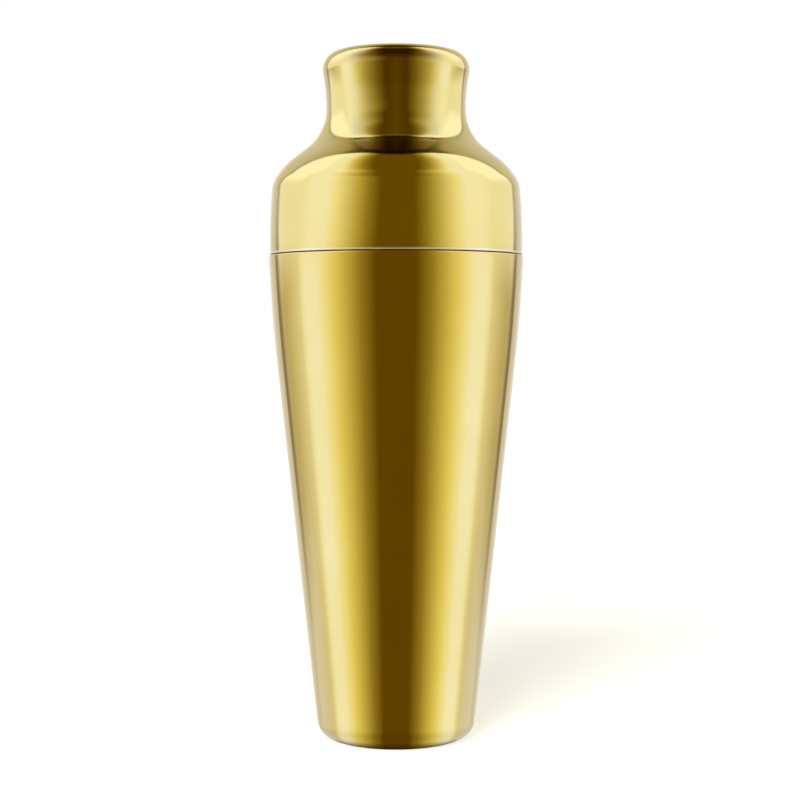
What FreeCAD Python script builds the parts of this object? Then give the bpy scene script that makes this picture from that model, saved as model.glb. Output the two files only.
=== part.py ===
import FreeCAD, Part
import math
import os

# A two-piece Parisian cocktail shaker, closed: a tapered tin, and a waisted cap whose collar plugs
# into the tin's mouth. Millimetres, +Z up, origin on the axis in the plane that the foot rests on.
# Every piece is turned about Z. A lean is a direction of travel along an outline, in degrees from
# straight up, positive towards the axis: -90 runs outwards, -180 runs down and 90 runs inwards.

# Tin
TIN_HEIGHT = 167.1
MOUTH_RADIUS = 44.0
TIN_WALL = 0.8
TAPER_LEAN = -6.25          # the straight cone, widening upwards
TAPER_TOP = 126.7           # where the cone starts to straighten up
MOUTH_LEAN = -2.35          # what is left of the taper at the rim
FLOOR_HEIGHT = 6.6          # underside of the tin's own floor
FLOOR_BEND = 4.0

# Base cup, welded round the foot of the tin and polished flush, with the weight inside it
CUP_WALL = 0.8
CUP_SEAM = 12.0             # height of the cup's upper edge
FOOT_BEND = 6.0
UNDERSIDE_HEIGHT = 1.8      # the cup's middle stands this far off the table
UNDERSIDE_RADIUS = 15.0
STEP_BEND = 2.2
LAP_SLOPE = 1.6             # height over which the tin's inside steps in behind the cup
WEIGHT_RADIUS = 19.5
WEIGHT_CHAMFER = 0.6

# Cap
OVERALL_HEIGHT = 237.0
SEAM_GAP = 0.25             # between the tin's rim and the cap's edge when the cap is home
RIM_STEP = 0.42             # how far the cap's edge stands in from the tin's rim
CAP_WALL = 0.8
EDGE_BEND = 0.4             # rounding outside at the cap's edge
EDGE_LEAN = -1.2
BAND_TOP = 189.8            # where the band's long bulge ends
BAND_LEAN = 5.0
CORNER_BEND = 8.3           # the tighter bend between the band and the shoulder
CORNER_LEAN = 31.2
SHOULDER_BEND = 25.7
SLOPE_LEAN = 52.5
SLOPE_LENGTH = 5.6
THROAT_BEND = 17.4
FLARE_LEAN = -10.8
TOP_BEND = 6.1
HOLE_RADIUS = 16.8          # where the top turns down round the closing disc
HOLE_BEND = 1.2
HOLE_LIP = 0.8

# Closing disc and collar
DISC_THICKNESS = 0.8
DISC_DEPTH = 1.0            # how far the disc sits below the top
DISC_EDGE = 0.25
COLLAR_WALL = 0.6
COLLAR_DEPTH = 14.0         # below the tin's rim
COLLAR_RISE = 9.0           # above the cap's edge
COLLAR_FIT = 0.06           # running clearance in the mouth
COLLAR_LEAN = -3.05         # the taper of the mouth over the collar's depth
COLLAR_LEAD = 0.45          # rounding at the collar's lower end
PLUG_TOP = 0.5              # the plug steps in to the band's bore this far below the rim


def step_along(station, run):
    """The middle and end of one run, ("line", length) or ("arc", bend_radius, new_lean)."""
    radius, height, lean = station
    stations = []
    for part in (0.5, 1.0):
        if run[0] == "line":
            turn = math.radians(lean)
            length = part * run[1]
            stations.append((radius - length * math.sin(turn), height + length * math.cos(turn), lean))
        else:
            reached = lean + part * (run[2] - lean)
            bend = math.copysign(run[1], run[2] - lean)
            across = math.cos(math.radians(reached)) - math.cos(math.radians(lean))
            along = math.sin(math.radians(reached)) - math.sin(math.radians(lean))
            stations.append((radius + bend * across, height + bend * along, reached))
    return stations


def trace(radius, height, lean, *runs):
    """Follow a smooth outline run by run: each span holds its start, middle and end station."""
    spans = []
    start = (radius, height, lean)
    for run in runs:
        middle, end = step_along(start, run)
        spans.append((start, middle, end))
        start = end
    return spans


def inside(spans, distance):
    """The same outline shifted inwards, square to itself, as the other face of a sheet is."""
    def shifted(station):
        radius, height, lean = station
        turn = math.radians(lean)
        return (radius - distance * math.cos(turn), height - distance * math.sin(turn), lean)

    return [tuple(shifted(station) for station in span) for span in spans]


def backwards(spans):
    return [tuple(reversed(span)) for span in reversed(spans)]


def line(start, end):
    """A straight edge between two stations or (radius, height) pairs."""
    return Part.LineSegment(FreeCAD.Vector(start[0], 0, start[1]), FreeCAD.Vector(end[0], 0, end[1])).toShape()


def arc(start, middle, end):
    """A round edge through three stations or (radius, height) pairs."""
    return Part.Arc(*(FreeCAD.Vector(station[0], 0, station[1]) for station in (start, middle, end))).toShape()


def edges(spans):
    """One edge per span: straight where the lean stays the same, round where it changes."""
    return [line(span[0], span[2]) if span[0][2] == span[2][2] else arc(*span) for span in spans]


def turned(outline):
    """The solid that a closed outline makes when it is turned about Z."""
    face = Part.Face(Part.Wire(outline))
    return face.revolve(FreeCAD.Vector(0, 0, 0), FreeCAD.Vector(0, 0, 1), 360)


def circle_at(solid, radius, height):
    """The solid's circular edge about Z with this radius and height."""
    return next(edge for edge in solid.Edges if isinstance(edge.Curve, Part.Circle)
                and abs(edge.Curve.Radius - radius) < 1e-6 and abs(edge.Curve.Center.z - height) < 1e-6)


def climb(bend, lean, new_lean):
    """The height that a bend gains while it turns from one lean to another."""
    return bend * abs(math.sin(math.radians(new_lean)) - math.sin(math.radians(lean)))


def bend_over(height, lean, new_lean):
    """The radius of the bend that gains a height while it turns from one lean to another."""
    return height / climb(1, lean, new_lean)


MOUTH_BEND = bend_over(TIN_HEIGHT - TAPER_TOP, TAPER_LEAN, MOUTH_LEAN)


def taper_radius(height):
    """Outside radius of the straight cone at a height, met smoothly by the bend up to the mouth."""
    mouth_width = MOUTH_BEND * (math.cos(math.radians(MOUTH_LEAN)) - math.cos(math.radians(TAPER_LEAN)))
    return MOUTH_RADIUS - mouth_width - (TAPER_TOP - height) * math.tan(math.radians(-TAPER_LEAN))


def foot(start_radius, floor_height, bend, inset, top):
    """An outline that runs out along a floor, round a bend and up the cone, set in from its outside."""
    taper = math.radians(-TAPER_LEAN)
    bend_top = floor_height + climb(bend, -90, TAPER_LEAN)
    floor_radius = taper_radius(bend_top) - inset / math.cos(taper) - bend * math.cos(taper)
    return trace(start_radius, floor_height, -90,
                 ("line", floor_radius - start_radius),
                 ("arc", bend, TAPER_LEAN),
                 ("line", (top - bend_top) / math.cos(taper)))


def tin_shell():
    """Drawn sheet with a full-round rim. Below the seam it is stepped in behind the base cup."""
    taper = math.radians(-TAPER_LEAN)
    lower = foot(0, FLOOR_HEIGHT, FLOOR_BEND, CUP_WALL, CUP_SEAM + CUP_WALL * math.sin(taper))
    step_end = (taper_radius(CUP_SEAM), CUP_SEAM)
    rim_lean = MOUTH_LEAN - math.degrees(TIN_WALL / 2 / MOUTH_BEND)
    upper = trace(*step_end, TAPER_LEAN,
                  ("line", (TAPER_TOP - step_end[1]) / math.cos(taper)),
                  ("arc", MOUTH_BEND, rim_lean))
    inner_lower = inside(lower, TIN_WALL)
    inner_upper = inside(upper, TIN_WALL)
    slope_end = (taper_radius(CUP_SEAM + LAP_SLOPE) - TIN_WALL / math.cos(taper), CUP_SEAM + LAP_SLOPE)
    inner_upper[0] = ((*slope_end, TAPER_LEAN), inner_upper[0][1], inner_upper[0][2])
    rim_turn = math.radians(rim_lean)
    rim_top = (upper[-1][2][0] - TIN_WALL / 2 * (math.cos(rim_turn) + math.sin(rim_turn)),
               upper[-1][2][1] + TIN_WALL / 2 * (math.cos(rim_turn) - math.sin(rim_turn)))
    return turned(edges(lower) + [line(lower[-1][2], step_end)]
                  + edges(upper) + [arc(upper[-1][2], rim_top, inner_upper[-1][2])]
                  + edges(backwards(inner_upper)) + [line(slope_end, inner_lower[-1][2])]
                  + edges(backwards(inner_lower)) + [line(inner_lower[0][0], lower[0][0])])


def tin_base_cover():
    """Pressed cup that makes the foot: a flat ring to stand on round a raised middle."""
    step_turn = math.degrees(math.acos(1 - UNDERSIDE_HEIGHT / 2 / STEP_BEND))
    middle = trace(0, UNDERSIDE_HEIGHT, -90,
                   ("line", UNDERSIDE_RADIUS),
                   ("arc", STEP_BEND, -90 - step_turn),
                   ("arc", STEP_BEND, -90))
    outer = middle + foot(middle[-1][2][0], 0, FOOT_BEND, 0, CUP_SEAM)
    inner = inside(outer, CUP_WALL)
    return turned(edges(outer) + [line(outer[-1][2], inner[-1][2])]
                  + edges(backwards(inner)) + [line(inner[0][0], outer[0][0])])


def tin_base_weight():
    """Steel disc between the tin's floor and the cup, which keeps the empty tin upright."""
    bottom = UNDERSIDE_HEIGHT + CUP_WALL
    disc = Part.makeCylinder(WEIGHT_RADIUS, FLOOR_HEIGHT - bottom, FreeCAD.Vector(0, 0, bottom))
    return disc.makeChamfer(WEIGHT_CHAMFER, [circle_at(disc, WEIGHT_RADIUS, height)
                                             for height in (bottom, FLOOR_HEIGHT)])


def cap_edge():
    """The rounding at the cap's edge, from its foot up to the band."""
    foot_radius = MOUTH_RADIUS - RIM_STEP - EDGE_BEND * math.cos(math.radians(EDGE_LEAN))
    return trace(foot_radius, TIN_HEIGHT + SEAM_GAP, -90, ("arc", EDGE_BEND, EDGE_LEAN))


def cap_outline(start):
    """Outside of the cap from the top of its edge, over the shoulder and neck to the closing disc."""
    lower = trace(*start,
                  ("arc", bend_over(BAND_TOP - start[1], EDGE_LEAN, BAND_LEAN), BAND_LEAN),
                  ("arc", CORNER_BEND, CORNER_LEAN),
                  ("arc", SHOULDER_BEND, SLOPE_LEAN),
                  ("line", SLOPE_LENGTH),
                  ("arc", THROAT_BEND, 0))
    throat = lower[-1][2]
    flare_height = OVERALL_HEIGHT - throat[1] - climb(TOP_BEND, FLARE_LEAN, 90)
    neck = trace(*throat,
                 ("arc", bend_over(flare_height, 0, FLARE_LEAN), FLARE_LEAN),
                 ("arc", TOP_BEND, 90))
    top_edge = neck[-1][2]
    hole = trace(*top_edge,
                 ("line", top_edge[0] - HOLE_RADIUS - HOLE_BEND),
                 ("arc", HOLE_BEND, 180),
                 ("line", HOLE_LIP))
    return lower + neck + hole


def cap_shell():
    """Spun sheet: its edge is rounded outside, and its top turns down round the closing disc."""
    edge = cap_edge()
    outer = cap_outline(edge[-1][2])
    inner = inside(outer, CAP_WALL)
    bore_foot = (inner[0][0][0], edge[0][0][1])
    return turned(edges(edge + outer) + [line(outer[-1][2], inner[-1][2])] + edges(backwards(inner))
                  + [line(inner[0][0], bore_foot), line(bore_foot, edge[0][0])])


def cap_crown():
    """Disc welded into the turned-down hole in the top of the neck."""
    top = OVERALL_HEIGHT - DISC_DEPTH
    disc = Part.makeCylinder(HOLE_RADIUS, DISC_THICKNESS, FreeCAD.Vector(0, 0, top - DISC_THICKNESS))
    return disc.makeFillet(DISC_EDGE, [circle_at(disc, HOLE_RADIUS, top)])


def cap_collar():
    """Ring that is welded inside the cap's band and plugs the tin's mouth with a running fit."""
    edge_height = TIN_HEIGHT + SEAM_GAP
    band_bore = MOUTH_RADIUS - RIM_STEP - CAP_WALL
    plug_top = TIN_HEIGHT - PLUG_TOP
    plug_bottom = TIN_HEIGHT - COLLAR_DEPTH
    top_radius = MOUTH_RADIUS - TIN_WALL - COLLAR_FIT
    bottom_radius = top_radius - (plug_top - plug_bottom) * math.tan(math.radians(-COLLAR_LEAN))
    outer = [(bottom_radius, plug_bottom), (top_radius, plug_top),
             (band_bore, edge_height), (band_bore, edge_height + COLLAR_RISE)]
    inner = [(radius - COLLAR_WALL, height) for radius, height in outer]
    corners = outer + inner[::-1]
    ring = turned([line(start, end) for start, end in zip(corners, corners[1:] + corners[:1])])
    return ring.makeFillet(COLLAR_LEAD, [circle_at(ring, bottom_radius, plug_bottom)])


os.makedirs("parts", exist_ok=True)
for piece in (tin_shell, tin_base_weight, tin_base_cover, cap_shell, cap_crown, cap_collar):
    shape = piece()
    shape.exportStep("parts/" + piece.__name__ + ".step")
    print(piece.__name__, "valid:", shape.isValid(), "solids:", len(shape.Solids),
          "volume:", round(shape.Volume, 1))
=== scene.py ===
import math

import bpy
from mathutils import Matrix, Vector


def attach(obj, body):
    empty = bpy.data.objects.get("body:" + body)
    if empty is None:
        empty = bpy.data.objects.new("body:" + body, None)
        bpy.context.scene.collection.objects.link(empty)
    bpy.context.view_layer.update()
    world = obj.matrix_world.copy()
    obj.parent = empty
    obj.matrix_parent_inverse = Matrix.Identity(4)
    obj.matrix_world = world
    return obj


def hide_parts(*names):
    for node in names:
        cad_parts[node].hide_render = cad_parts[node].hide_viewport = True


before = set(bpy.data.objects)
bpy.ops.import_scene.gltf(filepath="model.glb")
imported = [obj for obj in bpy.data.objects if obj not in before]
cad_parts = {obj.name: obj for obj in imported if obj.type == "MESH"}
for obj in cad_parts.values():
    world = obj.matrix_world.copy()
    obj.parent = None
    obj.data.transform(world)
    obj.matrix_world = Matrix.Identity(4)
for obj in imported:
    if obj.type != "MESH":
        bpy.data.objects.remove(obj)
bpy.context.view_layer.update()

# Looks of a two-piece cocktail shaker. Every piece is a sheet-metal turning, so each one is an
# outline in millimetres that is turned about Z into a fine mesh with exact normals. A lean is a
# direction of travel along an outline, in degrees from straight up, positive towards the axis.
MM = 0.001

# Tin and base cup, as designed
TIN_HEIGHT = 167.1
MOUTH_RADIUS = 44.0
TIN_WALL = 0.8
TAPER_LEAN = -6.25
TAPER_TOP = 126.7
MOUTH_LEAN = -2.35
FLOOR_HEIGHT = 6.6
FLOOR_BEND = 4.0
CUP_WALL = 0.8
CUP_SEAM = 12.0
FOOT_BEND = 6.0
UNDERSIDE_HEIGHT = 1.8
UNDERSIDE_RADIUS = 15.0
STEP_BEND = 2.2
LAP_SLOPE = 1.6

# Cap, closing disc and collar, as designed
OVERALL_HEIGHT = 237.0
SEAM_GAP = 0.25
RIM_STEP = 0.42
CAP_WALL = 0.8
EDGE_BEND = 0.4
EDGE_LEAN = -1.2
BURNISHED_HIGHLIGHT_HEIGHT = 0.4
BAND_TOP = 189.8
BAND_LEAN = 5.0
CORNER_BEND = 8.3
CORNER_LEAN = 31.2
SHOULDER_BEND = 25.7
SLOPE_LEAN = 52.5
SLOPE_LENGTH = 5.6
THROAT_BEND = 17.4
FLARE_LEAN = -10.8
TOP_BEND = 6.1
HOLE_RADIUS = 16.8
HOLE_BEND = 1.2
HOLE_LIP = 0.8
DISC_THICKNESS = 0.8
DISC_DEPTH = 1.0
DISC_EDGE = 0.25
COLLAR_WALL = 0.6
COLLAR_DEPTH = 14.0
COLLAR_RISE = 9.0
COLLAR_FIT = 0.06
COLLAR_LEAN = -3.05
COLLAR_LEAD = 0.45
PLUG_TOP = 0.5

# How fine the meshes are, and the radius under which a ring is one point on the axis
SEGMENTS = 192
LONGEST_STEP = 6.0
FINEST_TURN = 3.0
ON_AXIS = 1e-6


# Outlines. A station is (radius, height, lean). A face is a list of stations along one smooth
# face, and an outline is a list of faces with the metal on the left of the direction of travel.

def trace(radius, height, lean, *runs):
    """Follow a smooth face run by run, ("line", length) or ("arc", bend_radius, new_lean)."""
    stations = [(radius, height, lean)]
    for run in runs:
        radius, height, lean = stations[-1]
        if run[0] == "line":
            turn = math.radians(lean)
            steps = max(1, math.ceil(run[1] / LONGEST_STEP))
            for step in range(1, steps + 1):
                length = run[1] * step / steps
                stations.append((radius - length * math.sin(turn),
                                 height + length * math.cos(turn), lean))
        else:
            bend = math.copysign(run[1], run[2] - lean)
            steps = max(1, math.ceil(max(abs(run[2] - lean) / FINEST_TURN,
                                         run[1] * math.radians(abs(run[2] - lean)) / LONGEST_STEP)))
            for step in range(1, steps + 1):
                reached = lean + (run[2] - lean) * step / steps
                across = math.cos(math.radians(reached)) - math.cos(math.radians(lean))
                along = math.sin(math.radians(reached)) - math.sin(math.radians(lean))
                stations.append((radius + bend * across, height + bend * along, reached))
    return stations


def straight(start, end):
    """A straight face from one (radius, height) to another."""
    lean = math.degrees(math.atan2(start[0] - end[0], end[1] - start[1]))
    length = math.hypot(end[0] - start[0], end[1] - start[1])
    return trace(start[0], start[1], lean, ("line", length))


def far_side(face, wall):
    """The other side of a sheet, followed back the other way."""
    def shifted(radius, height, lean):
        turn = math.radians(lean)
        return (radius - wall * math.cos(turn), height - wall * math.sin(turn), lean + 180)

    return [shifted(*station) for station in reversed(face)]


def climb(bend, lean, new_lean):
    """How far an arc rises from one lean to another."""
    return bend * abs(math.sin(math.radians(new_lean)) - math.sin(math.radians(lean)))


def bend_over(height, lean, new_lean):
    """The bend radius of an arc that rises by a height from one lean to another."""
    return height / climb(1, lean, new_lean)


MOUTH_BEND = bend_over(TIN_HEIGHT - TAPER_TOP, TAPER_LEAN, MOUTH_LEAN)


def taper_radius(height):
    """Outside radius of the tin's straight cone at a height."""
    mouth_width = MOUTH_BEND * (math.cos(math.radians(MOUTH_LEAN)) - math.cos(math.radians(TAPER_LEAN)))
    return MOUTH_RADIUS - mouth_width - (TAPER_TOP - height) * math.tan(math.radians(-TAPER_LEAN))


def foot(start_radius, floor_height, bend, inset, top):
    """A face that runs out along a floor, round a bend and up the cone, set in from its outside."""
    taper = math.radians(-TAPER_LEAN)
    bend_top = floor_height + climb(bend, -90, TAPER_LEAN)
    floor_radius = taper_radius(bend_top) - inset / math.cos(taper) - bend * math.cos(taper)
    return trace(start_radius, floor_height, -90,
                 ("line", floor_radius - start_radius),
                 ("arc", bend, TAPER_LEAN),
                 ("line", (top - bend_top) / math.cos(taper)))


def tin_outline():
    taper = math.radians(-TAPER_LEAN)
    lower = foot(0, FLOOR_HEIGHT, FLOOR_BEND, CUP_WALL, CUP_SEAM + CUP_WALL * math.sin(taper))
    rim_lean = MOUTH_LEAN - math.degrees(TIN_WALL / 2 / MOUTH_BEND)
    upper = trace(taper_radius(CUP_SEAM), CUP_SEAM, TAPER_LEAN,
                  ("line", (TAPER_TOP - CUP_SEAM) / math.cos(taper)),
                  ("arc", MOUTH_BEND, rim_lean))
    inner_upper = far_side(upper, TIN_WALL)
    slope_end = (taper_radius(CUP_SEAM + LAP_SLOPE) - TIN_WALL / math.cos(taper), CUP_SEAM + LAP_SLOPE)
    inner_upper = [station for station in inner_upper if station[1] > slope_end[1]]
    inner_upper.append((*slope_end, TAPER_LEAN + 180))
    inner_lower = far_side(lower, TIN_WALL)
    rim = trace(*upper[-1], ("arc", TIN_WALL / 2, rim_lean + 180))
    return [lower, straight(lower[-1], upper[0]), upper + rim[1:-1] + inner_upper,
            straight(slope_end, inner_lower[0]), inner_lower]


def cup_outline():
    """Pressed cup that makes the foot: a flat ring to stand on round a raised middle."""
    step_turn = math.degrees(math.acos(1 - UNDERSIDE_HEIGHT / 2 / STEP_BEND))
    middle = trace(0, UNDERSIDE_HEIGHT, -90,
                   ("line", UNDERSIDE_RADIUS),
                   ("arc", STEP_BEND, -90 - step_turn),
                   ("arc", STEP_BEND, -90))
    outer = middle + foot(middle[-1][0], 0, FOOT_BEND, 0, CUP_SEAM)[1:]
    inner = far_side(outer, CUP_WALL)
    return [outer, straight(outer[-1], inner[0]), inner]


def cap_outline():
    foot_radius = MOUTH_RADIUS - RIM_STEP - EDGE_BEND * math.cos(math.radians(EDGE_LEAN))
    edge = trace(foot_radius, TIN_HEIGHT + SEAM_GAP, -90, ("arc", EDGE_BEND, EDGE_LEAN))
    band_bend = bend_over(BAND_TOP - edge[-1][1], EDGE_LEAN, BAND_LEAN)
    side = trace(*edge[-1],
                 ("arc", band_bend, EDGE_LEAN + math.degrees(BURNISHED_HIGHLIGHT_HEIGHT / band_bend)),
                 ("arc", band_bend, BAND_LEAN),
                 ("arc", CORNER_BEND, CORNER_LEAN),
                 ("arc", SHOULDER_BEND, SLOPE_LEAN),
                 ("line", SLOPE_LENGTH),
                 ("arc", THROAT_BEND, 0))
    flare_height = OVERALL_HEIGHT - side[-1][1] - climb(TOP_BEND, FLARE_LEAN, 90)
    neck = trace(*side[-1],
                 ("arc", bend_over(flare_height, 0, FLARE_LEAN), FLARE_LEAN),
                 ("arc", TOP_BEND, 90))
    hole = trace(*neck[-1],
                 ("line", neck[-1][0] - HOLE_RADIUS - HOLE_BEND),
                 ("arc", HOLE_BEND, 180),
                 ("line", HOLE_LIP))
    outer = side + neck[1:] + hole[1:]
    inner = far_side(outer, CAP_WALL)
    bore_foot = (inner[-1][0], edge[0][1])
    return [edge[:-1] + outer, straight(outer[-1], inner[0]), inner,
            straight(inner[-1], bore_foot), straight(bore_foot, edge[0])]


def disc_outline():
    top = OVERALL_HEIGHT - DISC_DEPTH
    bottom = top - DISC_THICKNESS
    upper = trace(HOLE_RADIUS, bottom, 0,
                  ("line", DISC_THICKNESS - DISC_EDGE),
                  ("arc", DISC_EDGE, 90),
                  ("line", HOLE_RADIUS - DISC_EDGE))
    return [straight((0, bottom), (HOLE_RADIUS, bottom)), upper]


def collar_outline():
    cap_edge = TIN_HEIGHT + SEAM_GAP
    band_bore = MOUTH_RADIUS - RIM_STEP - CAP_WALL
    plug_top = TIN_HEIGHT - PLUG_TOP
    plug_bottom = TIN_HEIGHT - COLLAR_DEPTH
    top_radius = MOUTH_RADIUS - TIN_WALL - COLLAR_FIT
    bottom_radius = top_radius - (plug_top - plug_bottom) * math.tan(math.radians(-COLLAR_LEAN))
    corners = [(bottom_radius, plug_bottom), (top_radius, plug_top),
               (band_bore, cap_edge), (band_bore, cap_edge + COLLAR_RISE)]
    corners += [(radius - COLLAR_WALL, height) for radius, height in reversed(corners)]
    lead = trace(bottom_radius - COLLAR_LEAD, plug_bottom, -90, ("arc", COLLAR_LEAD, COLLAR_LEAN))
    plug_side = straight(lead[-1], corners[1])
    sides = [straight(start, end) for start, end in zip(corners[1:], corners[2:])]
    return [lead[:-1] + plug_side] + sides + [straight(corners[-1], lead[0])]


# Meshes

def turned(name, outline, materials, material_of=lambda radius, height, lean: 0):
    """A piece turned about Z from an outline, with exact normals along each smooth face."""
    rings = []
    vertices = []
    for face in outline:
        for radius, height, lean in face:
            place = (round(radius, 6), round(height, 6))
            if rings and rings[-1][0] == place:
                continue
            count = 1 if radius < ON_AXIS else SEGMENTS
            rings.append((place, len(vertices), count))
            for spoke in range(count):
                turn = 2 * math.pi * spoke / SEGMENTS
                vertices.append((radius * math.cos(turn) * MM, radius * math.sin(turn) * MM,
                                 height * MM))
    closed = rings[0][0] == rings[-1][0] and len(rings) > 2
    if closed:
        del vertices[rings[-1][1]:]
        rings[-1] = rings[0]

    polygons = []
    corner_normals = []
    slots = []
    position = 0
    for face in outline:
        for start, end in zip(face, face[1:]):
            low, high = rings[position], rings[position + 1]
            position += 1
            middle = [(a + b) / 2 for a, b in zip(start, end)]
            slot = material_of(*middle)
            for spoke in range(SEGMENTS):
                corners = [(low, spoke, start[2]), (low, spoke + 1, start[2]),
                           (high, spoke + 1, end[2]), (high, spoke, end[2])]
                if low[2] == 1:
                    corners[0:2] = [(low, spoke + 0.5, start[2])]
                elif high[2] == 1:
                    corners[2:4] = [(high, spoke + 0.5, end[2])]
                polygons.append([ring[1] + int(at) % ring[2] for ring, at, lean in corners])
                slots.append(slot)
                for ring, at, lean in corners:
                    turn = 2 * math.pi * at / SEGMENTS
                    out = math.cos(math.radians(lean))
                    up = math.sin(math.radians(lean))
                    corner_normals.append((out * math.cos(turn), out * math.sin(turn), up))

    mesh = bpy.data.meshes.new(name)
    mesh.from_pydata(vertices, [], polygons)
    for material in materials:
        mesh.materials.append(material)
    mesh.polygons.foreach_set("material_index", slots)
    mesh.polygons.foreach_set("use_smooth", [True] * len(polygons))
    mesh.normals_split_custom_set(corner_normals)
    mesh.update()
    piece = bpy.data.objects.new(name, mesh)
    bpy.context.scene.collection.objects.link(piece)
    return piece


# Materials

class Nodes:
    """Short calls for making the nodes of one tree."""

    def __init__(self, tree):
        self.tree = tree

    def new(self, kind, values=(), **settings):
        """A node with its settings, and values or links for its inputs by name or place."""
        node = self.tree.nodes.new("ShaderNode" + kind)
        for setting, value in settings.items():
            setattr(node, setting, value)
        for key, value in dict(values).items():
            self.put(node.inputs[key], value)
        return node

    def put(self, socket, value):
        if isinstance(value, bpy.types.NodeSocket):
            self.tree.links.new(value, socket)
        else:
            socket.default_value = value

    def maths(self, operation, *values):
        return self.new("Math", enumerate(values), operation=operation).outputs[0]

    def distance(self, x, y):
        """How far (x, y) is from the axis."""
        squares = self.maths("ADD", self.maths("POWER", x, 2.0), self.maths("POWER", y, 2.0))
        return self.maths("SQRT", squares)

    def degrees_round(self, x, towards_front):
        """The angle round the axis from straight in front, the same to the left and to the right."""
        return self.maths("DEGREES", self.maths("ARCTAN2", self.maths("ABSOLUTE", x), towards_front))

    def step(self, value, start, end, low=0.0, high=1.0):
        """Turns smoothly from low, where the value is at start, to high, where it is at end."""
        node = self.new("MapRange", {"Value": value, "From Min": start, "From Max": end,
                                     "To Min": low, "To Max": high}, interpolation_type="SMOOTHSTEP")
        return node.outputs["Result"]

    def window(self, value, rise_start, rise_end, fall_start, fall_end, height=1.0):
        """Rises smoothly from 0 to a height and later falls to 0 again."""
        return self.maths("MULTIPLY", self.step(value, rise_start, rise_end),
                          self.step(value, fall_start, fall_end, height, 0.0))

    def mix(self, share, first, second, blend="MIX"):
        """A colour mixed from two colours."""
        node = self.new("Mix", data_type="RGBA", blend_type=blend)
        sockets = {"Factor": share, "A": first, "B": second}
        for name, value in sockets.items():
            kind = "VALUE" if name == "Factor" else "RGBA"
            socket = next(s for s in node.inputs if s.name == name and s.type == kind)
            self.put(socket, value)
        return next(s for s in node.outputs if s.type == "RGBA")

    def ramp(self, value, stops):
        """A colour ramp with (position, colour) stops."""
        node = self.new("ValToRGB", {"Fac": value})
        elements = node.color_ramp.elements
        while len(elements) < len(stops):
            elements.new(0.5)
        for element, (position, colour) in zip(elements, stops):
            element.position = position
            element.color = colour
        return node.outputs["Color"]


CLOUDS_PER_METRE = 28.0
GRAINS_PER_METRE = 900.0
CLOUD_RANGE = (0.35, 0.65)
WEAR_RANGE = (0.3, 0.7)
CLOUD_SHARE = 0.6


def metal(name, colour, shade, roughness, spread, line_height, lines_per_mm):
    """Worked metal: a colour that varies a little, and fine lines that run round the axis."""
    material = bpy.data.materials.new(name)
    material.use_nodes = True
    nodes = Nodes(material.node_tree)
    shader = material.node_tree.nodes["Principled BSDF"]
    place = nodes.new("TexCoord").outputs["Object"]
    apart = nodes.new("SeparateXYZ", {"Vector": place})
    radius = nodes.distance(apart.outputs["X"], apart.outputs["Y"])
    along = nodes.new("CombineXYZ", {"X": nodes.maths("MULTIPLY", radius, 1 / MM),
                                     "Y": nodes.maths("MULTIPLY", apart.outputs["Z"], 1 / MM)})

    clouds = nodes.new("TexNoise", {"Vector": place, "Scale": CLOUDS_PER_METRE,
                                    "Detail": 3.0, "Roughness": 0.55}).outputs["Fac"]
    grain = nodes.new("TexNoise", {"Vector": place, "Scale": GRAINS_PER_METRE,
                                   "Detail": 2.0, "Roughness": 0.6}).outputs["Fac"]
    lines = nodes.new("TexNoise", {"Vector": along.outputs[0], "Scale": lines_per_mm,
                                   "Detail": 4.0, "Roughness": 0.65}).outputs["Fac"]

    colour_share = nodes.step(clouds, *CLOUD_RANGE)
    nodes.put(shader.inputs["Base Color"], nodes.mix(colour_share, (*shade, 1), (*colour, 1)))
    wear = nodes.maths("ADD", nodes.maths("MULTIPLY", clouds, CLOUD_SHARE),
                       nodes.maths("MULTIPLY", grain, 1 - CLOUD_SHARE))
    rough = nodes.step(wear, *WEAR_RANGE, roughness - spread, roughness + spread)
    nodes.put(shader.inputs["Roughness"], rough)
    bump = nodes.new("Bump", {"Height": lines, "Strength": 1.0, "Distance": line_height * MM})
    nodes.put(shader.inputs["Normal"], bump.outputs["Normal"])
    shader.inputs["Metallic"].default_value = 1.0
    return material


POLISHED_GOLD = metal("polished_gold", colour=(0.87, 0.69, 0.215), shade=(0.85, 0.66, 0.19),
                      roughness=0.09, spread=0.015, line_height=0.0002, lines_per_mm=1.2)
# Burnished: rougher, and painted paler than the polished gold as a highlight along the seam
BURNISHED_GOLD_WITH_PAINTED_HIGHLIGHT = metal("burnished_gold_painted_highlight", colour=(1.0, 0.93, 0.58), shade=(0.98, 0.9, 0.54),
                       roughness=0.42, spread=0.03, line_height=0.0002, lines_per_mm=1.2)
SATIN_GOLD = metal("satin_gold", colour=(0.78, 0.59, 0.2), shade=(0.74, 0.54, 0.17),
                   roughness=0.34, spread=0.04, line_height=0.006, lines_per_mm=3.0)
BRIGHT_STEEL = metal("bright_steel", colour=(0.56, 0.56, 0.57), shade=(0.48, 0.48, 0.5),
                     roughness=0.3, spread=0.05, line_height=0.006, lines_per_mm=3.0)


# Pieces. A face's lean says which of the piece's materials it has: the outside is polished, what
# looks down or inwards is satin, and the cap has a burnished margin with a painted highlight at its
# lower edge.
LOOKS_DOWN = -60.0
LOOKS_UP = 90.0
LOOKS_INWARDS = 110.0
TIN_RIM_TOP = 60.0
TIN_BOTTOM = -10.0
BURNISHED_HIGHLIGHT_TOP = TIN_HEIGHT + SEAM_GAP + EDGE_BEND + BURNISHED_HIGHLIGHT_HEIGHT


def on_cup(radius, height, lean):
    return 1 if lean < LOOKS_DOWN or lean > LOOKS_UP else 0


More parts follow.
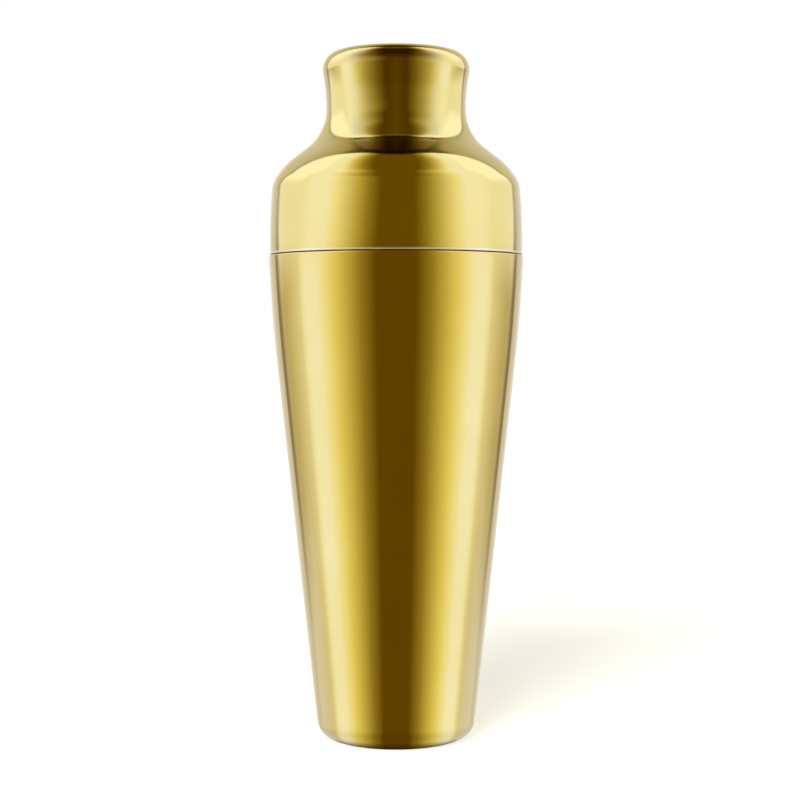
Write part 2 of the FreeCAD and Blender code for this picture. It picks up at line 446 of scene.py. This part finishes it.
def on_cap(radius, height, lean):
    # The burnished margin at the cap's lower edge, painted paler as a highlight
    if height < BURNISHED_HIGHLIGHT_TOP and LOOKS_DOWN < lean < 0:
        return 2
    return 1 if lean > LOOKS_INWARDS else 0


def on_tin(radius, height, lean):
    return 1 if lean > TIN_RIM_TOP or lean < TIN_BOTTOM else 0


def on_collar(radius, height, lean):
    """Polished where the collar shows through the seam, and satin elsewhere."""
    return 1 if height > TIN_HEIGHT - PLUG_TOP and abs(lean) < LOOKS_UP else 0


tin = turned("tin_shell_visual", tin_outline(), [POLISHED_GOLD, SATIN_GOLD], on_tin)
cup = turned("tin_base_cup_visual", cup_outline(), [POLISHED_GOLD, SATIN_GOLD], on_cup)
cap = turned("cap_shell_visual", cap_outline(), [POLISHED_GOLD, SATIN_GOLD, BURNISHED_GOLD_WITH_PAINTED_HIGHLIGHT], on_cap)
disc = turned("cap_crown_visual", disc_outline(), [SATIN_GOLD])
collar = turned("cap_collar_visual", collar_outline(), [SATIN_GOLD, POLISHED_GOLD], on_collar)

for piece, body, node, slot in ((tin, "tin", "tin_shell", "gold_sheet"),
                                (cup, "tin", "tin_base_cover", "gold_sheet"),
                                (cap, "cap", "cap_shell", "gold_sheet"),
                                (disc, "cap", "cap_crown", "gold_satin"),
                                (collar, "cap", "cap_collar", "gold_satin")):
    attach(piece, body)
    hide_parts(node)

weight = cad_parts["tin_base_weight"]
weight.data.materials.clear()
weight.data.materials.append(BRIGHT_STEEL)


# Studio: a light tent with a dark slit in front, where the camera stands. Its open back shows a
# backdrop that is white low down and dark at the top, and a thin dark line edges that opening.
# Directions are measured round the object from the slit. The halves are the same, but the left
# panel reaches further round high up.
LOW_SLIT = (0.13, 0.075, 0.0)
HIGH_SLIT = (0.145, 0.09, 0.0)
SLIT_EDGE = (0.32, 0.25, 0.05)
AMBER = (0.56, 0.50, 0.18)
YELLOW = (0.84, 0.80, 0.42)
PALE = (1.0, 1.02, 0.95)
WARM_PANEL = (0.86, 0.84, 0.7)
LOW_PANEL = (1.05, 1.16, 1.9)
HIGH_PANEL = (1.05, 1.15, 1.75)
PANEL_END = (0.98, 1.06, 1.4)
BRIGHT_END = (1.15, 1.28, 1.85)
SIDE = (0.85, 0.87, 1.1)
DIM_SIDE = (0.71, 0.69, 0.65)
FAR_SIDE = (0.57, 0.53, 0.5)
LOW_SIDE = (0.78, 0.81, 1.25)
TABLE = (1.0, 1.0, 1.3)
EDGE = (0.26, 0.21, 0.2)
BACKDROP_SIDE = (0.68, 0.70, 0.85)
BACKDROP = (0.92, 0.92, 1.0)
HAZE = (0.70, 0.67, 0.6)
GREY = (0.63, 0.63, 0.7)
OLIVE = (0.44, 0.40, 0.28)
BROWN = (0.12, 0.085, 0.01)
BLACK = (0.02, 0.005, 0.0)
DEEPER = (0.42, 0.41, 0.4, 1)
WHITE = (1, 1, 1, 1)
BRIGHTEST = 2.0
HALF_TURN = 180.0

# Tones by the angle from the slit, and the top of the backdrop's by elevation
LOW_WALLS = ((0, LOW_SLIT), (18, LOW_SLIT), (32, SLIT_EDGE), (43, AMBER), (56, YELLOW), (66, PALE),
             (77, LOW_PANEL), (90, LOW_PANEL), (95, PANEL_END), (98.5, SIDE), (110, DIM_SIDE),
             (122, FAR_SIDE), (180, FAR_SIDE))
HIGH_WALLS = ((0, HIGH_SLIT), (22, HIGH_SLIT), (33, SLIT_EDGE), (43, AMBER), (56, WARM_PANEL),
              (63, PALE), (73, HIGH_PANEL), (92, HIGH_PANEL), (102, PANEL_END), (180, PANEL_END))
HIGH_BACKDROP = ((0, HAZE), (22, HAZE), (35, GREY), (54, OLIVE), (61, BROWN), (74, BLACK))

# Where one tone gives way to the next: elevations and angles from the slit, in degrees
LOW_TO_HIGH = (-3.0, 3.0)
WALLS_TO_TABLE = (-30.0, -45.0)
LOW_SIDE_ANGLES = (98.0, 114.0)
LOW_SIDE_ELEVATIONS = (-10.0, -17.0)
BRIGHT_END_ANGLES = (92.0, 104.0)
BRIGHT_END_ELEVATIONS = (12.0, 26.0)
BACKDROP_ANGLES = (145.0, 170.0)
BACKDROP_ELEVATIONS = (6.0, 22.0)

# How many degrees the lit panels reach further round, and between which elevations
PANEL_REACH = 5.0
PANEL_REACH_ELEVATIONS = (-12.0, -3.0, 22.0, 40.0)
LEFT_REACH = 4.0
LEFT_REACH_ELEVATIONS = (-2.0, 16.0, 22.0, 40.0)

# The slit runs on over the top, where directions are nearly upright
OVERHEAD_START = 0.8
OVERHEAD_SHARE = 2.5

# A reflected ray's depth in the tent is 2 after one reflection and 3 after two
BETWEEN_ONCE_AND_TWICE = 2.5

# The opening's half width and its height for each step back, and the line along its edge
SHORTEST_STEP_BACK = 0.001
OPENING_WIDTH = 0.95
OPENING_HEIGHT = 7.0
OPENING_SQUARENESS = 4.0
OPENING_EDGE = (1.03, 0.97)
LINE_INSIDE = (0.80, 0.96)
LINE_OUTSIDE_LOW = 1.35
LINE_OUTSIDE_HIGH = 1.10
LINE_WIDTH_ELEVATIONS = (-5.0, 12.0)
LINE_BOTTOM = (-17.0, -7.0)
LINE_PALES = (-2.0, 6.0)
PALE_LINE = 0.5
LINE_TOP = (40.0, 55.0)


def dimmed(colour):
    return (*(channel / BRIGHTEST for channel in colour), 1)


def tones(nodes, degrees, stops):
    """Tones that change with an angle, from (degrees, tone) stops."""
    share = nodes.maths("DIVIDE", degrees, HALF_TURN)
    return nodes.ramp(share, [(place / HALF_TURN, dimmed(tone)) for place, tone in stops])


def low_walls(nodes, round_angle, lowness):
    """The lower half of the walls, whose far ends are lighter at the bottom."""
    walls = tones(nodes, round_angle, LOW_WALLS)
    far_end = nodes.maths("MULTIPLY", lowness, nodes.step(round_angle, *LOW_SIDE_ANGLES))
    return nodes.mix(far_end, walls, dimmed(LOW_SIDE))


def tent_walls(nodes, elevation, round_angle, on_left):
    """The walls, lit from both sides, with the slit between them, over a pale table."""
    panel_reach = nodes.window(elevation, *PANEL_REACH_ELEVATIONS, PANEL_REACH)
    left_reach = nodes.window(elevation, *LEFT_REACH_ELEVATIONS, LEFT_REACH)
    reach = nodes.maths("ADD", panel_reach, nodes.maths("MULTIPLY", left_reach, on_left))
    high = tones(nodes, nodes.maths("ADD", round_angle, reach), HIGH_WALLS)
    bright_end = nodes.maths("MULTIPLY", nodes.step(elevation, *BRIGHT_END_ELEVATIONS),
                             nodes.step(round_angle, *BRIGHT_END_ANGLES))
    high = nodes.mix(bright_end, high, dimmed(BRIGHT_END))
    low = low_walls(nodes, round_angle, nodes.step(elevation, *LOW_SIDE_ELEVATIONS))
    walls = nodes.mix(nodes.step(elevation, *LOW_TO_HIGH), low, high)
    return nodes.mix(nodes.step(elevation, *WALLS_TO_TABLE), walls, dimmed(TABLE))


def backdrop_tones(nodes, elevation, round_angle):
    middle = nodes.step(round_angle, *BACKDROP_ANGLES)
    low = nodes.mix(middle, dimmed(BACKDROP_SIDE), dimmed(BACKDROP))
    high = tones(nodes, elevation, HIGH_BACKDROP)
    return nodes.mix(nodes.step(elevation, *BACKDROP_ELEVATIONS), low, high)


def opening_reach(nodes, side, back, up):
    """How far out a direction is in the opening, which is tall with upright sides: 1 on its edge."""
    behind = nodes.maths("MAXIMUM", back, SHORTEST_STEP_BACK)
    across = nodes.maths("DIVIDE", nodes.maths("DIVIDE", side, behind), OPENING_WIDTH)
    rise = nodes.maths("DIVIDE", nodes.maths("MAXIMUM", up, 0.0), behind)
    rise = nodes.maths("DIVIDE", rise, OPENING_HEIGHT)
    total = nodes.maths("ADD", nodes.maths("POWER", across, OPENING_SQUARENESS),
                        nodes.maths("POWER", rise, OPENING_SQUARENESS))
    return nodes.maths("POWER", total, 1 / OPENING_SQUARENESS)


def edge_line(nodes, reach, elevation):
    """The share of the thin dark line that edges the opening."""
    outside = nodes.step(elevation, *LINE_WIDTH_ELEVATIONS, LINE_OUTSIDE_LOW, LINE_OUTSIDE_HIGH)
    line = nodes.maths("MULTIPLY", nodes.step(reach, outside, OPENING_EDGE[0]),
                       nodes.step(reach, *LINE_INSIDE))
    line = nodes.maths("MULTIPLY", line, nodes.step(elevation, *LINE_BOTTOM))
    line = nodes.maths("MULTIPLY", line, nodes.step(elevation, *LINE_PALES, 1.0, PALE_LINE))
    return nodes.maths("MULTIPLY", line, nodes.step(elevation, *LINE_TOP, 1.0, 0.0))


def studio_world():
    world = bpy.data.worlds.new("light_tent")
    bpy.context.scene.world = world
    world.cycles_visibility.diffuse = False
    world.use_nodes = True
    tree = world.node_tree
    nodes = Nodes(tree)
    apart = nodes.new("SeparateXYZ", {"Vector": nodes.new("TexCoord").outputs["Generated"]})
    side, back, up = (apart.outputs[axis] for axis in "XYZ")
    elevation = nodes.maths("DEGREES", nodes.maths("ARCSINE", up))
    overhead = nodes.maths("MAXIMUM", nodes.maths("SUBTRACT", up, OVERHEAD_START), 0.0)
    overhead = nodes.maths("MULTIPLY", overhead, OVERHEAD_SHARE)
    round_angle = nodes.degrees_round(side, nodes.maths("SUBTRACT", overhead, back))

    walls = tent_walls(nodes, elevation, round_angle, nodes.maths("LESS_THAN", side, 0.0))
    backdrop = backdrop_tones(nodes, elevation, round_angle)
    reach = opening_reach(nodes, nodes.maths("ABSOLUTE", side), back, up)
    opening = nodes.maths("MULTIPLY", nodes.step(reach, *OPENING_EDGE),
                          nodes.maths("GREATER_THAN", back, 0.0))
    colour = nodes.mix(opening, walls, backdrop)
    colour = nodes.mix(edge_line(nodes, reach, elevation), colour, dimmed(EDGE))

    # Metal reflected in metal gives a darker picture
    depth = nodes.new("LightPath").outputs["Ray Depth"]
    twice = nodes.maths("GREATER_THAN", depth, BETWEEN_ONCE_AND_TWICE)
    colour = nodes.mix(twice, colour, nodes.mix(1.0, colour, DEEPER, "MULTIPLY"))

    light = nodes.new("Background", {"Color": colour, "Strength": BRIGHTEST})
    plain = nodes.new("Background", {"Color": WHITE, "Strength": 1.0})
    seen = nodes.new("LightPath").outputs["Is Camera Ray"]
    chosen = nodes.new("MixShader", {0: seen, 1: light.outputs[0], 2: plain.outputs[0]})
    tree.links.new(chosen.outputs[0], tree.nodes["World Output"].inputs["Surface"])


# Lamps: a soft key from the front left, which casts the shadow, and a fill from overhead without one
KEY_STRENGTH = 1.9
KEY_SOFTNESS = 29.0
KEY_FROM_LEFT = 21.0
KEY_ELEVATION = 38.0
FILL_STRENGTH = 2.9
FILL_TINT = (1.0, 0.976, 0.87)


def sun(name, strength, tint, towards_light, softness):
    """A distant lamp that lights the floor and isn't mirrored in the metal."""
    lamp = bpy.data.lights.new(name, "SUN")
    lamp.energy = strength
    lamp.color = tint
    lamp.angle = math.radians(softness)
    stand = bpy.data.objects.new(name, lamp)
    stand.rotation_mode = "QUATERNION"
    stand.rotation_quaternion = Vector(towards_light).to_track_quat("Z", "Y")
    stand.visible_glossy = False
    bpy.context.scene.collection.objects.link(stand)
    return stand


def lights():
    turn, rise = math.radians(KEY_FROM_LEFT), math.radians(KEY_ELEVATION)
    towards_key = (-math.sin(turn) * math.cos(rise), -math.cos(turn) * math.cos(rise), math.sin(rise))
    sun("key", KEY_STRENGTH, (1, 1, 1), towards_key, KEY_SOFTNESS)
    fill = sun("fill", FILL_STRENGTH, FILL_TINT, (0, 0, 1), KEY_SOFTNESS)
    fill.data.use_shadow = False


# Floor and the gauze of painted shade, in metres and in degrees round the axis from straight in front
FLOOR_SIZE = 30.0
FLOOR_TINT = (0.9, 0.9, 0.9, 1)
# Painted contact shade, which metal sees in the floor right under the foot
PAINTED_CONTACT_SHADE = (0.03, 0.012, 0.0, 1)
CONTACT_REACH = (0.0006, 0.004)
FLOOR_REACH = (0.012, 0.018)
FOOT_RADIUS = 0.026
SHADE_BY_FOOT = 0.86

GAUZE_RADIUS = 0.029
GAUZE_HEIGHTS = (0.206, 0.280)
GAUZE_HALF_TURN = 90.0
GAUZE_SEGMENTS = 48
# Painted shade that metal sees through the gauze: a stripe down the neck and a crescent on the rolled
# top
NECK_PAINTED_SHADE = (0.60, 0.57, 0.5, 1)
NECK_PAINTED_SHADE_ANGLES = (-12.0, 12.0, 24.0, 50.0)
NECK_PAINTED_SHADE_HEIGHTS = (0.207, 0.212)
TOP_PAINTED_SHADE = (0.2, 0.12, 0.06, 1)
TOP_PAINTED_SHADE_ANGLES = (60.0, 15.0)
TOP_PAINTED_SHADE_HEIGHTS = (0.229, 0.238)


def stage_sheet(name, vertices, polygons, material_name):
    """A sheet that belongs to the studio, with a new material."""
    mesh = bpy.data.meshes.new(name)
    mesh.from_pydata(vertices, [], polygons)
    sheet = bpy.data.objects.new(name, mesh)
    bpy.context.scene.collection.objects.link(sheet)
    material = bpy.data.materials.new(material_name)
    material.use_nodes = True
    mesh.materials.append(material)
    return sheet


def floor():
    """A plain pale floor. Metal mirrors the tent and not the floor, apart from right by the foot, where
    the floor glows with a painted reflection and painted shade.
    """
    half = FLOOR_SIZE / 2
    corners = [(-half, -half, 0), (half, -half, 0), (half, half, 0), (-half, half, 0)]
    plane = stage_sheet("floor", corners, [(0, 1, 2, 3)], "pale_floor")
    tree = plane.active_material.node_tree
    nodes = Nodes(tree)
    shader = tree.nodes["Principled BSDF"]
    shader.inputs["Base Color"].default_value = FLOOR_TINT
    shader.inputs["Roughness"].default_value = 1.0
    shader.inputs["Specular IOR Level"].default_value = 0.0

    # Beside the foot, for metal only, the floor glows with a painted reflection of the lower walls'
    # tones and a painted contact shade underneath.
    # Metal at an angle round the foot mirrors the wall at twice that angle, and a ray that leaves
    # it so meets the floor a little further round the farther out it lands.
    apart = nodes.new("SeparateXYZ", {"Vector": nodes.new("TexCoord").outputs["Object"]})
    across, back = apart.outputs["X"], apart.outputs["Y"]
    turn = nodes.degrees_round(across, nodes.maths("MULTIPLY", back, -1.0))
    twice_radius = nodes.maths("MULTIPLY", nodes.distance(across, back), 2.0)
    share = nodes.maths("DIVIDE", twice_radius, nodes.maths("SUBTRACT", twice_radius, FOOT_RADIUS))
    round_angle = nodes.maths("MINIMUM", nodes.maths("MULTIPLY", turn, share), HALF_TURN)
    path = nodes.new("LightPath")
    reach = path.outputs["Ray Length"]
    # Painted reflection of the lower walls, with painted contact shade under the foot, as a glow only
    # metal sees
    tone = nodes.mix(nodes.step(reach, *CONTACT_REACH), PAINTED_CONTACT_SHADE, low_walls(nodes, round_angle, 1.0))
    painted_reflection_by_foot = nodes.new("Emission", {"Color": tone, "Strength": BRIGHTEST * SHADE_BY_FOOT})
    clear = nodes.new("BsdfTransparent")
    mirrored = nodes.new("MixShader", {0: nodes.step(reach, *FLOOR_REACH), 1: painted_reflection_by_foot.outputs[0],
                                       2: clear.outputs[0]})
    chosen = nodes.new("MixShader", {0: path.outputs["Is Glossy Ray"], 1: shader.outputs[0],
                                     2: mirrored.outputs[0]})
    tree.links.new(chosen.outputs[0], tree.nodes["Material Output"].inputs["Surface"])


def painted_shade_gauze():
    """A dark gauze of painted shade close round the front of the cap's neck, thickest above it. Only
    metal mirrors it, so the neck keeps a broad painted dark stripe and the rolled top a painted dark
    crescent."""
    vertices = []
    for height in GAUZE_HEIGHTS:
        for spoke in range(GAUZE_SEGMENTS + 1):
            turn = math.radians(GAUZE_HALF_TURN * (2 * spoke / GAUZE_SEGMENTS - 1))
            vertices.append((GAUZE_RADIUS * math.sin(turn), -GAUZE_RADIUS * math.cos(turn), height))
    above = GAUZE_SEGMENTS + 1
    polygons = [(spoke, spoke + 1, above + spoke + 1, above + spoke) for spoke in range(GAUZE_SEGMENTS)]
    sheet = stage_sheet("painted_shade_gauze", vertices, polygons, "painted_shade_gauze_material")
    sheet.visible_camera = False
    sheet.visible_diffuse = False
    sheet.visible_shadow = False

    tree = sheet.active_material.node_tree
    nodes = Nodes(tree)
    apart = nodes.new("SeparateXYZ", {"Vector": nodes.new("TexCoord").outputs["Object"]})
    across, back, height = (apart.outputs[axis] for axis in "XYZ")
    turn = nodes.degrees_round(across, nodes.maths("MULTIPLY", back, -1.0))
    neck_shade_share = nodes.maths("MULTIPLY", nodes.window(turn, *NECK_PAINTED_SHADE_ANGLES),
                          nodes.step(height, *NECK_PAINTED_SHADE_HEIGHTS))
    top_shade_share = nodes.maths("MULTIPLY", nodes.step(turn, *TOP_PAINTED_SHADE_ANGLES),
                             nodes.step(height, *TOP_PAINTED_SHADE_HEIGHTS))
    # The gauze darkens what metal mirrors through it: painted shade
    tint = nodes.mix(top_shade_share, nodes.mix(neck_shade_share, WHITE, NECK_PAINTED_SHADE), TOP_PAINTED_SHADE)
    clear = nodes.new("BsdfTransparent", {"Color": tint})
    tree.links.new(clear.outputs[0], tree.nodes["Material Output"].inputs["Surface"])


# The camera stands in front, a little lower than the seam, and looks slightly down
CAMERA_DISTANCE = 0.5907
CAMERA_HEIGHT = 0.1413
CAMERA_PITCH_DOWN = 2.34
CAMERA_AIM_RIGHT = 0.13
LENS = 76.5
SENSOR = 36.0


def camera():
    lens = bpy.data.cameras.new("camera")
    lens.lens = LENS
    lens.sensor_width = SENSOR
    lens.clip_end = 100.0
    stand = bpy.data.objects.new("camera", lens)
    stand.location = (0, -CAMERA_DISTANCE, CAMERA_HEIGHT)
    stand.rotation_euler = (math.radians(90 - CAMERA_PITCH_DOWN), 0, math.radians(-CAMERA_AIM_RIGHT))
    bpy.context.scene.collection.objects.link(stand)
    bpy.context.scene.camera = stand


studio_world()
lights()
floor()
painted_shade_gauze()
camera()
bpy.context.scene.view_settings.view_transform = "Standard"
